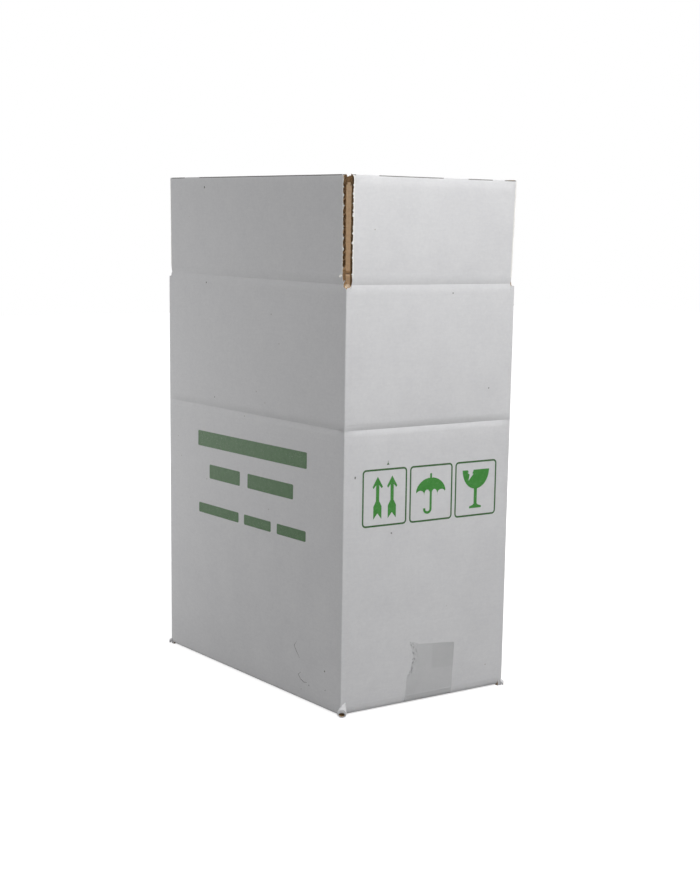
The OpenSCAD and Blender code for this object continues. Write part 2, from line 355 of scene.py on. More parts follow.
for panelName, panel in panels.items():
    panel["name"], panel["flap"] = panelName, panelName + "_flap"
    panel["out"], panel["along"] = Vector(panel["out"]), Vector(panel["along"])
    for key in ("bow", "flapCurl"):
        panel[key] *= mm
    for key in ("trim", "line", "skew"):
        panel[key] = [size * mm for size in panel[key]]
    panel["reach"] = abs(panel["out"].dot(caseHigh))  # middle of the case to the panel's outside
    panel["half"] = abs(panel["along"].dot(caseHigh))
    axis = Vector(joints[panelName + "_fold"]["pos_m"])
    panel["axisOut"], panel["axisZ"] = axis.dot(panel["out"]), axis.z
    panel["foldDepth"] = panel["reach"] - panel["axisOut"]
    flapLow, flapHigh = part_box(panel["flap"])
    panel["flapHalf"] = abs(panel["along"].dot(flapHigh))
    panel["flapLong"] = flapHigh.z - axis.z
    flapOut = max(panel["out"].dot(flapLow), panel["out"].dot(flapHigh))
    panel["lean"] = math.asin((flapOut - panel["reach"]) / panel["flapLong"])


# the crease for cutting the case down is pressed in, with a long lower flank; rows are where the mesh is cut
midFold = {"depth": 0.75 * mm, "above": 8 * mm, "below": 14 * mm, "corner": 10 * mm, "line": 0.02 * mm,
           "clear": 7 * mm, "rows": (-14, -11.5, -9.2, -7, -5, -3.4, 0, 3, 4.4, 6, 8)}


def midDip(z):
    s = z - board["midCrease"]
    q = 1 - (s / midFold["above"] if s > 0 else -s / midFold["below"])
    return midFold["depth"] * q * q if q > 0 else 0.0


def bowAt(panel, u, z):  # how far a wall stands out of flat; nothing at the corners and creases
    mid, top, fade = board["midCrease"], panel["axisZ"], board["fade"]
    share = z / mid if z < mid else (z - mid) / (top - mid)
    arch = max(0.0, math.sin(math.pi * share)) if 0 < share < 1 else 0.0
    across = max(0.0, 1 - (u / panel["half"]) ** 2)
    inward = panel["half"] - abs(u)
    edge = smooth(inward / fade) * smooth(z / fade) * smooth((top - z) / fade)
    wave = noiseAt(u * 14, z * 9, panel["seed"]) + 0.5 * noiseAt(u * 40, z * 30, panel["seed"] + 5)
    fold = midDip(z) * smooth(inward / midFold["corner"])
    return panel["bow"] * arch * across + board["ripple"] * wave * edge - fold


def onPanel(panel, u, z, lift=0.0):  # a point on the wall's outside, lifted off it
    return panel["out"] * (panel["reach"] + bowAt(panel, u, z) + lift) + panel["along"] * u + up * z


def endToEnd(panel, key, u):  # a value given at the wall's left and right ends
    first, second = panel[key]
    return first + (second - first) * (0.5 + 0.5 * u / panel["half"])


# the top creases: the liner runs on over the score, pressed to a sharp line with rounded flanks
crease = {"depth": {"front": 0.85 * mm, "right": 0.6 * mm, "back": 0.8 * mm, "left": 0.6 * mm},
          "flank": 7.0 * mm, "cover": 10.5 * mm, "under": 0.06 * mm, "tuckEnd": 10 * mm, "ease": 3.5 * mm,
          "liner": 0.25 * mm, "cell": 6 * mm, "rows": 28, "bend": 4.8 * mm, "clear": 16 * mm,
          "wearFrom": 2 * mm, "wearReach": 6 * mm, "wearRough": 0.35 * mm, "cuts": (5, 6.5, 8, 9.5, 11)}


def creaseDip(panel, s):
    q = 1 - abs(s) / crease["flank"]
    return crease["depth"][panel["name"]] * q * q if q > 0 else 0.0


def linerTuck(panel, s):  # how far the board is pressed in under the liner strip
    return creaseDip(panel, s) + crease["under"] * smooth((crease["tuckEnd"] - abs(s)) / crease["ease"])


# CAD triangles are joined at their corners, and the long diagonals of flat faces taken out
cadMesh = {"join": 0.002 * mm, "diagonal": 6 * mm, "flat": 0.002}


def joinedCopy(node):
    bm = bmesh.new()
    bm.from_mesh(frame["nodes"][node].data)
    bmesh.ops.remove_doubles(bm, verts=bm.verts, dist=cadMesh["join"])
    flat = [e for e in bm.edges if len(e.link_faces) == 2 and e.calc_length() > cadMesh["diagonal"]
            and e.calc_face_angle(1) < cadMesh["flat"]]
    bmesh.ops.dissolve_edges(bm, edges=flat, use_verts=False)
    return bm


# the end walls' bottom folds swell over the ends of the long flaps, with the score pressed in above; slot
# ends are torn, and the upright creases are pressed nearly sharp
boxCorner = {"round": 2.5 * mm, "worn": 0.9 * mm, "slack": 0.1 * mm, "touch": 0.01 * mm}
wallFoot = {"inset": 3.9 * mm, "low": 3.3 * mm, "floor": 9 * mm, "drop": 2.6 * mm, "from": 8.5 * mm,
            "reach": 5 * mm, "score": 0.35 * mm, "scoreTop": 9.5 * mm, "scoreReach": 3.6 * mm,
            "scoreDeep": 1.6 * mm, "rows": (7.1, 7.7, 8.4, 9.2, 10.1, 11.2, 12.6, 14.5)}
slotTear = {"overcut": 1.5 * mm, "zone": 13 * mm, "wide": 7 * mm, "step": 0.7 * mm, "cuts": 6,
            "rise": 2.8 * mm, "ramp": 4 * mm, "rough": 0.9 * mm, "seed": 52.0}
# which faces are liner: how deep in the wall they lie, and the heights of the floor's two sides
caseSkin = {"outer": 2.2 * mm, "innerFrom": board["thick"] - 1.3 * mm, "innerTo": 2 * board["thick"] + 1 * mm,
            "innerLow": 6 * mm, "underside": 4.2 * mm, "moved": 2 * board["thick"] + 0.6 * mm,
            "pressed": 1.6 * mm, "proud": 0.3 * mm}


def footDrop(z):
    return wallFoot["drop"] * smooth((wallFoot["from"] - z) / wallFoot["reach"])


def footScore(z):
    return wallFoot["score"] * smooth((wallFoot["scoreTop"] - z) / wallFoot["scoreReach"])


def cutCase(bm):
    slotEnd = panels["right"]["axisZ"] - slotTear["overcut"]
    spans = ((xAxis, caseHigh.x), (yAxis, caseHigh.y))
    mid, cell, top = board["midCrease"], board["cell"], caseHigh.z

    def wall(face):
        return max(v.co.z for v in face.verts) > wallFoot["floor"]

    def floor(face):
        return max(v.co.z for v in face.verts) < wallFoot["floor"]

    def atSlot(face):
        c = face.calc_center_median()
        inward = max(caseHigh.x - abs(c.x), caseHigh.y - abs(c.y))
        return c.z > slotEnd - slotTear["zone"] and inward < slotTear["wide"]

    cutRows(bm, xAxis, [side * (caseHigh.x - wallFoot["inset"]) for side in (1, -1)], floor)
    cutRows(bm, up, [z * mm for z in wallFoot["rows"]], wall)
    for direction, far in spans:
        count = round(2 * far / cell)
        cutRows(bm, direction, [far * (2 * i / count - 1) for i in range(1, count)], wall)
    rows = [i * cell for i in range(1, int(top / cell) + 1)]
    cutRows(bm, up, [z for z in rows if abs(z - mid) > midFold["clear"] and z < top - crease["clear"]], wall)
    for name in ("front", "right"):
        cutRows(bm, up, [panels[name]["axisZ"] - s * mm for s in reversed(crease["cuts"])], wall)
    cutRows(bm, up, [mid + s * mm for s in midFold["rows"]], wall)
    for edge in bm.edges:  # the crease line stays sharp
        edge.smooth = not all(abs(v.co.z - mid) < midFold["line"] for v in edge.verts)
    for direction, far in spans:
        steps = [far - i * slotTear["step"] for i in range(1, slotTear["cuts"] + 1)]
        cutRows(bm, direction, [side * step for side in (1, -1) for step in steps], atSlot)
    return slotEnd


def caseFinish(c, n):  # the finish of a face, by its middle and its normal
    finish = cutFace
    for panel in panels.values():
        depth, side = panel["reach"] - c.dot(panel["out"]), n.dot(panel["out"])
        within = caseSkin["innerFrom"] < depth < caseSkin["innerTo"]
        if side > 0.3 and depth < caseSkin["outer"] and abs(c.dot(panel["along"])) < panel["half"]:
            finish = outerFace
        elif side < -0.5 and within and c.z > caseSkin["innerLow"]:
            finish = innerFace
    if c.z < wallFoot["floor"] and n.z > 0.6:
        finish = innerFace
    if c.z < caseSkin["underside"] and n.z < -0.5:
        finish = outerFace
    return finish


def caseShift(co, slotEnd):  # how far wear and bending move a point of the case
    shift = Vector()
    x, y, z = co
    slotX, slotY = panels["front"]["flapHalf"] - close, panels["right"]["flapHalf"]
    if z > slotEnd - close and abs(x) > slotX and abs(y) > slotY - close:
        rough = noiseAt(x * 700, y * 700, slotTear["seed"])
        inward = max(caseHigh.x - abs(x), caseHigh.y - abs(y))
        shift += up * (slotTear["rise"] * min(1.0, inward / slotTear["ramp"]) + slotTear["rough"] * rough)
    rounding = boxCorner["round"]
    dx, dy = abs(x) - caseHigh.x + rounding, abs(y) - caseHigh.y + rounding
    if min(dx, dy) > -boxCorner["touch"] and math.hypot(dx, dy) > rounding - boxCorner["slack"]:
        sharper = 1 - boxCorner["worn"] / rounding
        shift.x += math.copysign((rounding - dx) * sharper, x)
        shift.y += math.copysign((rounding - dy) * sharper, y)
    if z > wallFoot["low"] and abs(x) > caseHigh.x - wallFoot["inset"] + close and abs(y) < slotY + close:
        shift -= up * footDrop(z)
        if abs(x) > caseHigh.x - wallFoot["scoreDeep"]:
            shift.x -= math.copysign(footScore(z), x)
    for panel in panels.values():
        depth, u = panel["reach"] - co.dot(panel["out"]), co.dot(panel["along"])
        if -caseSkin["proud"] < depth < caseSkin["moved"]:
            shift += panel["out"] * bowAt(panel, u, z)
            if depth < caseSkin["pressed"] and abs(u) < panel["flapHalf"] + close:
                shift -= panel["out"] * linerTuck(panel, z - panel["axisZ"] - endToEnd(panel, "line", u))
    return shift


def makeCase():
    bm = joinedCopy("box_body")
    slotEnd = cutCase(bm)
    for face in bm.faces:
        face.material_index = caseFinish(face.calc_center_median(), face.normal)
    for vert in bm.verts:
        vert.co += caseShift(vert.co, slotEnd)
    case = toObject(bm, "caseBoard", boardFinishes)
    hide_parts("box_body")
    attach(case, "case")


makeCase()
print("case walls done")

# flaps: the knife-cut ends are crushed and frayed, and darkened near the fold as painted shade; a thin dark
# band runs along most of the free edge, and that edge curls a little; the rolled fold shrinks to stay under
# the liner
flapEdge = {"strip": 3.0 * mm, "step": 1.2 * mm, "rough": 0.62 * mm, "lip": 0.75 * mm, "bevel": 0.25 * mm,
            "crushed": 10 * mm, "foldOut": 3.6 * mm, "foldIn": 2.4 * mm, "fold": 0.8 * mm, "foldShrink": 0.6,
            "rows": (24, 36, 48, 60, 72), "ripple": 0.12 * mm, "rippleFrom": 20 * mm, "seed": 41.0,
            "raggedFrom": 4 * mm, "raggedLess": 6 * mm, "smallFace": 20 * mm * mm, "top": 0.3 * mm,
            "near": 0.1 * mm, "hollow": 0.5 * mm}


def flapTwist(panel, u, h):  # the flap leans more at one end than at the other
    lean = math.radians(endToEnd(panel, "ends", u))
    return max(0.0, h) * (math.tan(lean) - math.tan(panel["lean"]))


def flapCurve(panel, u, h):  # the free edge curls, and the whole sheet is never quite flat
    across = 1 - 0.6 * (u / panel["flapHalf"]) ** 2
    curl = panel["flapCurl"] * (h / panel["flapLong"]) ** 2 * across if h > 0 else 0.0
    ripple = noiseAt(u * 22, h * 18, panel["seed"] + 30) * smooth(h / flapEdge["rippleFrom"])
    return curl + flapEdge["ripple"] * ripple


def flapLocal(panel, point):  # distance out from the fold line and up the leaning flap
    d, h = point.dot(panel["out"]) - panel["axisOut"], point.z - panel["axisZ"]
    c, s = math.cos(panel["lean"]), math.sin(panel["lean"])
    return d * c - h * s, d * s + h * c


def flapPoint(panel, u, d, h):
    c, s = math.cos(panel["lean"]), math.sin(panel["lean"])
    h *= 1 + (endToEnd(panel, "skew", u) / panel["flapLong"] if h > 0 else 0.0)
    out, z = panel["axisOut"] + d * c + h * s, panel["axisZ"] - d * s + h * c
    return panel["along"] * u + panel["out"] * out + up * z


def onFlapFace(panel, u, h, lift):  # a point on the flap's outside, lifted off it
    d = panel["foldDepth"] + flapCurve(panel, u, h) + flapTwist(panel, u, h) + lift
    return flapPoint(panel, u, d, h)


def flapFinish(panel, c, n):
    d, h = flapLocal(panel, c)
    side, deep = n.dot(panel["out"]), panel["foldDepth"]
    lipDarkened = noiseAt(c.dot(panel["along"]) * 38, 5, panel["seed"]) > -0.32
    # a thin dark band along the top of the outside, in the dirt finish
    if side > 0.85 and h > panel["flapLong"] - flapEdge["lip"] and lipDarkened:
        return darkLipFace
    if side > 0.85 and d > deep - close or side > 0.3 and h < flapEdge["foldOut"]:
        return outerFace
    if side < -0.85 and d < deep - board["thick"] + close or side < -0.3 and h < flapEdge["foldIn"]:
        return innerFace
    # the cut board below the crushed height takes the medium darkened as painted shade
    return shadedCutFace if h < flapEdge["crushed"] else cutFace


def flapWorn(panel, co):  # where wear and bending leave a point of the flap
    half, tall, deep = panel["flapHalf"], panel["flapLong"], panel["foldDepth"]
    u = co.dot(panel["along"])
    d, h = flapLocal(panel, co)
    rough = noiseAt(h * 420, d * 300, flapEdge["seed"] + panel["seed"] + math.copysign(9, u))
    if math.hypot(d, h) < flapEdge["fold"]:
        d, h = flapEdge["foldShrink"] * d, flapEdge["foldShrink"] * h
    curl = flapCurve(panel, u, h)
    if h > tall - flapEdge["top"] and d > deep - flapEdge["near"]:
        d -= flapEdge["bevel"]
    if abs(u) > half - flapEdge["near"]:
        middle = 1 - abs(2 * (deep - d) / board["thick"] - 1)  # 0 at the liners, 1 half way through the board
        worn = flapEdge["rough"] * (0.25 + 0.75 * middle) * (0.7 + 1.6 * rough)
        u -= math.copysign(panel["trim"][u > 0] + worn, u)
    if d > -flapEdge["hollow"] and h > 0:
        d -= linerTuck(panel, h - endToEnd(panel, "line", u))
    return flapPoint(panel, u, d + curl + flapTwist(panel, u, h), h)


def makeFlap(name):
    panel = panels[name]
    along, out, axisZ = panel["along"], panel["out"], panel["axisZ"]
    half, tall, strip, step = panel["flapHalf"], panel["flapLong"], flapEdge["strip"], flapEdge["step"]

    def skinFace(face):
        return abs(face.normal.dot(out)) > 0.8 and face.calc_area() > flapEdge["smallFace"]

    def endFace(face):
        return abs(face.calc_center_median().dot(along)) > half - strip

    bm = joinedCopy(panel["flap"])
    count = round(2 * half / board["cell"])
    cutRows(bm, along, [half * (2 * i / count - 1) for i in range(1, count)] + [half - strip, strip - half])
    rows = [axisZ + s * mm for s in crease["cuts"] + flapEdge["rows"]]
    cutRows(bm, up, rows + [axisZ + tall - flapEdge["lip"]], skinFace)
    ragged = int((tall - flapEdge["raggedLess"]) / step)
    cutRows(bm, up, [axisZ + flapEdge["raggedFrom"] + i * step for i in range(ragged)], endFace)
    for face in bm.faces:
        face.material_index = flapFinish(panel, face.calc_center_median(), face.normal)
    for vert in bm.verts:
        vert.co = flapWorn(panel, vert.co)
    flap = toObject(bm, name + "FlapBoard", boardFinishes)
    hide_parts(panel["flap"])
    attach(flap, panel["flap"])


for panelName in panels:
    makeFlap(panelName)
print("flaps done")


def makeCreaseLiner(name):  # the strip of outer liner over the crease, from the wall onto the flap
    panel = panels[name]
    bm = bmesh.new()
    columns = round(2 * panel["flapHalf"] / crease["cell"])
    bmesh.ops.create_grid(bm, x_segments=columns, y_segments=crease["rows"], size=1)
    for edge in bm.edges:  # the pressed line stays sharp
        edge.smooth = not all(abs(v.co.y) < 1e-6 for v in edge.verts)
    for vert in bm.verts:
        u, row = vert.co.x * panel["flapHalf"], vert.co.y
        s = crease["cover"] * math.copysign(abs(row) ** 1.5, row)
        h = s + endToEnd(panel, "line", u)
        sink = creaseDip(panel, s) + crease["under"] * smooth((abs(s) - crease["flank"]) / crease["ease"])
        if abs(vert.co.x) > 0.999:
            worn = panel["trim"][u > 0] * smooth((h + crease["wearFrom"]) / crease["wearReach"])
            u -= math.copysign(worn + abs(crease["wearRough"] * noiseAt(s * 500, panel["seed"], 4)), u)
        if h > 0:
            vert.co = onFlapFace(panel, u, h, -sink)
        else:
            vert.co = onPanel(panel, u, panel["axisZ"] + h, -sink)
    bmesh.ops.recalc_face_normals(bm, faces=bm.faces)
    faceTowards(bm, panel["out"])
    bmesh.ops.solidify(bm, geom=bm.faces, thickness=crease["liner"])
    strip = toObject(bm, name + "CreaseLiner", [whiteLiner], paperAngle)
    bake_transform(strip)


for panelName in panels:
    makeCreaseLiner(panelName)
print("crease liners done")


# handling marks and plain bars, flexo printed; places are millimetres from the panel's left corner and up
# from the floor
ink = {"lift": 0.05 * mm, "cell": 6 * mm, "join": 0.001 * mm}


def arc(cx, cy, rx, ry, start, stop, steps):
    turns = [math.radians(start + (stop - start) * i / steps) for i in range(steps + 1)]
    return [(cx + rx * math.cos(t), cy + ry * math.sin(t)) for t in turns]


def roundedFrame(x0, y0, x1, y1, r):
    centres = [(x1 - r, y1 - r), (x0 + r, y1 - r), (x0 + r, y0 + r), (x1 - r, y0 + r)]
    return [p for i, (x, y) in enumerate(centres) for p in arc(x, y, r, r, 90 * i, 90 * (i + 1), 6)]


def printOn(panelName, name, outlines, tilt=0.0, finish=flexoInk, flap=False):
    panel = panels[panelName]
    shape = bpy.data.curves.new(name, "CURVE")
    shape.dimensions = "2D"
    shape.fill_mode = "BOTH"
    for points in outlines:
        spline = shape.splines.new("POLY")
        spline.points.add(len(points) - 1)
        for p, (x, y) in zip(spline.points, points):
            p.co = (x * mm, (y + tilt * x) * mm, 0, 1)
        spline.use_cyclic_u = True
    flat = bpy.data.objects.new(name + "Flat", shape)
    scene.collection.objects.link(flat)
    bpy.context.view_layer.update()
    mesh = bpy.data.meshes.new_from_object(flat.evaluated_get(bpy.context.evaluated_depsgraph_get()))
    bpy.data.objects.remove(flat)
    bpy.data.curves.remove(shape)
    bm = bmesh.new()
    bm.from_mesh(mesh)
    bpy.data.meshes.remove(mesh)
    bmesh.ops.remove_doubles(bm, verts=bm.verts, dist=ink["join"])
    ranges = [[v.co[i] for v in bm.verts] for i in (0, 1)]
    for direction, places in zip((xAxis, yAxis), ranges):
        low, wide = min(places), max(places) - min(places)
        steps = max(1, int(wide / ink["cell"]))
        cutRows(bm, direction, [low + wide * k / steps for k in range(1, steps)])
    for vert in bm.verts:
        u, z = vert.co.x - panel["half"], vert.co.y
        if flap:
            vert.co = onFlapFace(panel, u, z - panel["axisZ"], ink["lift"])
        else:
            vert.co = onPanel(panel, u, z, ink["lift"])
    faceTowards(bm, panel["out"])
    mark = toObject(bm, name, [finish])
    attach(mark, panel["flap"] if flap else "case")


marks = {"left": 17.4, "low": 146.85, "wide": 42.6, "high": 44.8, "pitch": 45.35, "line": 1.4, "corner": 3.4,
         "tilt": -0.004, "rise": 1.5, "arrows": (31.9, 45.7), "umbrella": (83.7, 170.8),
         "goblet": (129.4, 184.4),
         "tick": [(40.1, 194.2), (42.9, 194.2), (41.8, 195.6), (41.5, 198.0), (41.2, 195.6)]}


def arrowOutline(x):
    # the right-hand side, tip to feathers
    half = [(4.9, 176.4), (3.9, 175.0), (1.55, 177.6), (1.55, 165.4), (3.9, 161.2), (3.9, 151.2)]
    sides = [(x + dx, y) for dx, y in half] + [(x, 155.8)] + [(x - dx, y) for dx, y in reversed(half)]
    return [(px, py + marks["rise"]) for px, py in [(x, 184.3)] + sides]


def umbrellaOutline(x, y):  # x is the shaft, y the tips of the canopy
    dome, crook = (x, y - 1.8, 14.9, 12.4), (x - 3.1, y - 14.2)
    top = [(x - 1.0, y + 10.3), (x - 1.0, y + 13.9), (x + 1.0, y + 13.9), (x + 1.0, y + 10.3)]
    rim = arc(x + 10.6, y - 2.8, 4.1, 3.6, 30, 190, 7) + arc(x + 3.6, y - 2.9, 2.9, 4.2, -8, 146, 7)
    handle = arc(*crook, 4.2, 3.8, 0, -180, 12) + [(x - 7.3, y - 13.4), (x - 5.2, y - 13.4)]
    handle += arc(*crook, 2.1, 1.8, -180, 0, 10)
    leftRim = [(2 * x - px, py) for px, py in reversed(rim)]
    shaft = [(x + 1.1, y - 0.8)] + handle + [(x - 1.0, y - 0.8)]
    return top + arc(*dome, 82, 9, 10) + rim + shaft + leftRim + arc(*dome, 171, 98, 10)


def gobletOutline(x, y):  # x is the stem, y the rim
    cup = (x, y, 13.7, 15.4)
    foot = [(1.6, -15.6), (1.6, -27.4), (2.8, -28.5), (6.1, -29.4), (6.2, -31.0)]
    stem = [(x + dx, y + dy) for dx, dy in foot] + [(x - dx, y + dy) for dx, dy in reversed(foot)]
    crack = [(-8.6, 0), (-7.4, -1.5), (-8.6, -2.2), (-6.4, -3.6), (-7.4, -8.5), (-2.6, -3.4), (-3.6, -2.8),
            (-2.3, 0)]
    bowl = [(x + 13.8, y)] + arc(*cup, -8, -82, 9) + stem + arc(*cup, -98, -172, 9) + [(x - 13.8, y)]
    return bowl + [(x + dx, y + dy) for dx, dy in crack]


for i, markName in enumerate(("wayUp", "keepDry", "handleWithCare")):
    x0, y0 = marks["left"] + i * marks["pitch"], marks["low"]
    x1, y1, w = x0 + marks["wide"], y0 + marks["high"], marks["line"]
    outer = roundedFrame(x0, y0, x1, y1, marks["corner"])
    inner = roundedFrame(x0 + w, y0 + w, x1 - w, y1 - w, marks["corner"] - w)
    printOn("right", markName + "Frame", [outer, inner], marks["tilt"], flexoLine)
printOn("right", "wayUpArrows", [arrowOutline(x) for x in marks["arrows"]], marks["tilt"])
printOn("right", "keepDryUmbrella", [umbrellaOutline(*marks["umbrella"])], marks["tilt"])
printOn("right", "handleWithCareGoblet", [gobletOutline(*marks["goblet"])], marks["tilt"])

# plain bars: left end, right end, middle height and how thick
bars = {"rows": [(49.8, 216.6, 193.2, 13), (69.1, 118.5, 166.1, 12), (130.5, 198.1, 166.1, 12),
                 (51.6, 116.8, 133.2, 8.5), (125.4, 166.4, 133.2, 8.5), (175.3, 216.6, 133.2, 8.5)],
        "corner": 1.2, "tilt": 0.003}
for i, (left, right, middle, thick) in enumerate(bars["rows"]):
    outline = roundedFrame(left, middle - thick / 2, right, middle + thick / 2, bars["corner"])
    printOn("front", "plainBar%d" % (i + 1), [outline], bars["tilt"], flexoLine)
printOn("right", "registerTick", [marks["tick"]], finish=flexoLine)
print("print done")

# specks of dirt (place and radius) and a hair-thin scratch, in millimetres as for the print
dirt = {"front": [(63.8, 325.3, 0.8), (77.4, 230.6, 0.6), (244.1, 31.4, 0.9), (245.1, 16.2, 0.5),
                  (222.3, 14.7, 0.6)],
        "frontFlap": [(61.7, 401.9, 0.9)],
        "right": [(101.1, 323.7, 0.7), (140.1, 248.5, 0.6), (10.5, 186.3, 0.9), (45.7, 140.5, 0.8)],
        "scratches": [[(204.8, 47.1), (201.4, 43.1), (204.6, 38.8), (208.9, 34.3)],
                      [(210.9, 23.0), (207.2, 20.4), (210.6, 17.2), (215.4, 15.7), (219.7, 16.4)]],
        "scratchWide": 0.5, "taper": 0.35, "uneven": (0.6, 1.25), "seed": 88}
dice = random.Random(dirt["seed"])


def speckOutlines(key):
    outlines = []
    for x, y, radius in dirt[key]:
        outlines.append([(x + radius * dice.uniform(*dirt["uneven"]) * math.cos(turn * math.pi / 4),
                y + radius * dice.uniform(*dirt["uneven"]) * math.sin(turn * math.pi / 4))
                for turn in range(8)])
    return outlines


def scratchOutline(points):
    sides = [[], []]
    for i, (x, y) in enumerate(points):
        a, b = points[max(0, i - 1)], points[min(len(points) - 1, i + 1)]
        taper = dirt["taper"] if i in (0, len(points) - 1) else 1.0
        offset = 0.5 * dirt["scratchWide"] * taper / math.hypot(b[0] - a[0], b[1] - a[1])
        sides[0].append((x - (b[1] - a[1]) * offset, y + (b[0] - a[0]) * offset))
        sides[1].append((x + (b[1] - a[1]) * offset, y - (b[0] - a[0]) * offset))
    return sides[0] + sides[1][::-1]


printOn("front", "frontSpecks", speckOutlines("front"), finish=rubbedDirt)
printOn("front", "frontFlapSpeck", speckOutlines("frontFlap"), finish=rubbedDirt, flap=True)
printOn("right", "rightSpecks", speckOutlines("right"), finish=rubbedDirt)
printOn("front", "hairScratch", [scratchOutline(points) for points in dirt["scratches"]], finish=rubbedDirt)
print("dirt done")

# tape: one strip under the bottom seam and up both end walls; the right-hand leg is crooked, torn along its
# left edge and cut on a slope; leg outlines are millimetres from the wall's left corner and up from the floor
tape = {"slack": 0.06 * mm, "thick": 0.05 * mm, "rows": 180, "columns": 80, "tooth": 0.45, "toothPitch": 2.4,
        "foldShare": 0.2, "foldR": 3 * mm, "foldZ": 6.5 * mm, "seamInset": 4 * mm, "swell": 0.14 * mm,
        "swellTop": 17, "swellReach": 5, "wetSeam": 0.7, "wetLeg": 0.55,
        "right": {"leftEdge": [(0, 61.9), (23.4, 64.4), (26.5, 66.6), (38.5, 70.0), (50.3, 66.1)],
                  "rightEdge": [(0, 109.6), (46, 111.8)],
                  "top": [(62, 51.0), (66.1, 50.3), (71.2, 48.0), (111.7, 44.6)]},
        "left": {"leftEdge": [(0, 57.0), (46, 56.2)], "rightEdge": [(0, 105.0), (46, 104.2)],
                 "top": [(56, 44.6), (105, 46.0)]},
        # on the torn band the crumples swing the wetting into painted shade and painted glints
        "torn": {"wide": 8.0, "above": 20, "lift": 0.55 * mm, "ragged": 0.9, "shine": 4.2},
        "ridge": {"from": (89.7, 26.2), "to": (112.0, 23.0), "lift": 0.28 * mm, "half": 0.9}}
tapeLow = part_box("sealing_tape")[0]


def between(points, value):  # straight runs between the given points
    for (a, first), (b, second) in zip(points, points[1:]):
        if value <= b:
            return first + (second - first) * max(0.0, value - a) / (b - a)
    return points[-1][1]


# what the torn edge and the trapped ridge add: a new x, a lift, the wetting; on the torn band the wetting
# runs past its range into painted shade and painted glints on the crumples
def tornTape(x, h, left, atEdge):
    torn, ridge = tape["torn"], tape["ridge"]
    share = smooth(1 - (x - left) / torn["wide"]) * smooth((h - torn["above"]) / 7)
    crumple = abs(noiseAt(x * 0.45, h * 0.3, 61)) + 0.6 * abs(noiseAt(x * 1.1, h * 0.8, 67))
    lift = share * torn["lift"] * (0.25 + 1.6 * crumple)
    (x0, h0), (x1, h1) = ridge["from"], ridge["to"]
    off = abs(h - h0 - (h1 - h0) * (x - x0) / (x1 - x0))
    lift += ridge["lift"] * max(0.0, 1 - off / ridge["half"]) * smooth((x - x0 + 4) / 8)
    wet = 0.5 + 0.5 * smooth((x - x0 + 2) / 3) * smooth((h - h1 - 1.5) / 2)
    # painted shade and painted glints on the crumples
    wet += share * torn["shine"] * noiseAt(x * 0.75, h * 0.4, 77)
    if atEdge:
        x += torn["ragged"] * noiseAt(h * 0.9, 5, 71) * smooth((h - torn["above"]) / 6)
    return x, lift, wet


def makeTape():
    bm = bmesh.new()
    bmesh.ops.create_grid(bm, x_segments=tape["rows"], y_segments=tape["columns"], size=1)
    pressed = bm.verts.layers.float.new("pressed")
    slack, foldShare, foldR, foldZ = (tape[key] for key in ("slack", "foldShare", "foldR", "foldZ"))
    seamEnd = caseHigh.x - tape["seamInset"]  # where the long flaps end under the tape
    for vert in bm.verts:
        run, share = 1.5 * vert.co.x, 0.5 + 0.5 * vert.co.y  # run: under the bottom to 0.5, then a leg
        side = "right" if run > 0 else "left"
        panel, leg = panels[side], tape[side]
        across = share if run > 0 else 1 - share  # from the leg's left edge, seen from outside
        foot = leg["leftEdge"][0][1] + across * (leg["rightEdge"][0][1] - leg["leftEdge"][0][1])
        if abs(run) <= 0.5:
            start = panel["along"] * (foot * mm - panel["half"])
            vert.co = start + Vector((2 * run * seamEnd, 0, tapeLow.z + slack))
            vert[pressed] = tape["wetSeam"]
            continue
        climb = abs(run) - 0.5
        reach, folding = panel["reach"], climb < foldShare
        if folding:
            turn = math.radians(90 * (climb / foldShare - 1))
            reach -= foldR * (1 - math.cos(turn))
            z = foldZ + foldR * math.sin(turn)
        else:
            tooth = tape["tooth"] * (1 - 2 * abs((foot / tape["toothPitch"]) % 1 - 0.5))
            top = (between(leg["top"], foot) - tooth) * mm
            z = foldZ + (top - foldZ) * (climb - foldShare) / (1 - foldShare)
        low = max(tapeLow.z + slack, z - footDrop(z) - slack * folding)
        h = low / mm
        left, right = between(leg["leftEdge"], h), between(leg["rightEdge"], h)
        x = left + across * (right - left)
        lift = slack + tape["swell"] * smooth((tape["swellTop"] - h) / tape["swellReach"])
        vert[pressed] = tape["wetLeg"]
        if side == "right":
            x, rise, vert[pressed] = tornTape(x, h, left, across == 0)
            lift += rise
        vert.co = onPanel(panel, x * mm - panel["half"], low, reach - panel["reach"] - footScore(z) + lift)
    faceTowards(bm, -up)
    bmesh.ops.solidify(bm, geom=bm.faces, thickness=tape["thick"])
    strip = toObject(bm, "sealingTape", [tapeFilm])
    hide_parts("sealing_tape")
    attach(strip, "case")


makeTape()
print("tape done")

# bottom corner tips: the raw ends of the board are crushed out into little rolls, white outside with a brown
# hollow; steps are distance out, width, height and sink, corners the side, size and place of each roll
cornerRoll = {"half": (3.7 * mm, 3.3 * mm), "segments": 28, "bare": 6, "wobble": 0.22 * mm,
              "climb": 0.15 * mm, "lift": 0.15 * mm, "floor": 0.05 * mm,
              "steps": [(-6.5, 0.5, 0.8, 0), (-3.6, 0.8, 0.95, 0), (-1.3, 0.97, 1.0, 0), (-0.2, 1.0, 1.0, 0),
                        (0.0, 0.9, 0.86, 0.2), (-0.15, 0.66, 0.46, 0.8), (-2.4, 0.56, 0.36, 0.8),
                        (-3.0, 0.3, 0.2, 0.8)],
              "corners": {"nearRight": (1, -1, 1.0, 4.2, 2.2), "farRight": (1, 1, 0.6, 1.6, 0),
                          "nearLeft": (-1, -1, 0.55, 1.5, 0), "farLeft": (-1, 1, 0.6, 1.6, 0)}}


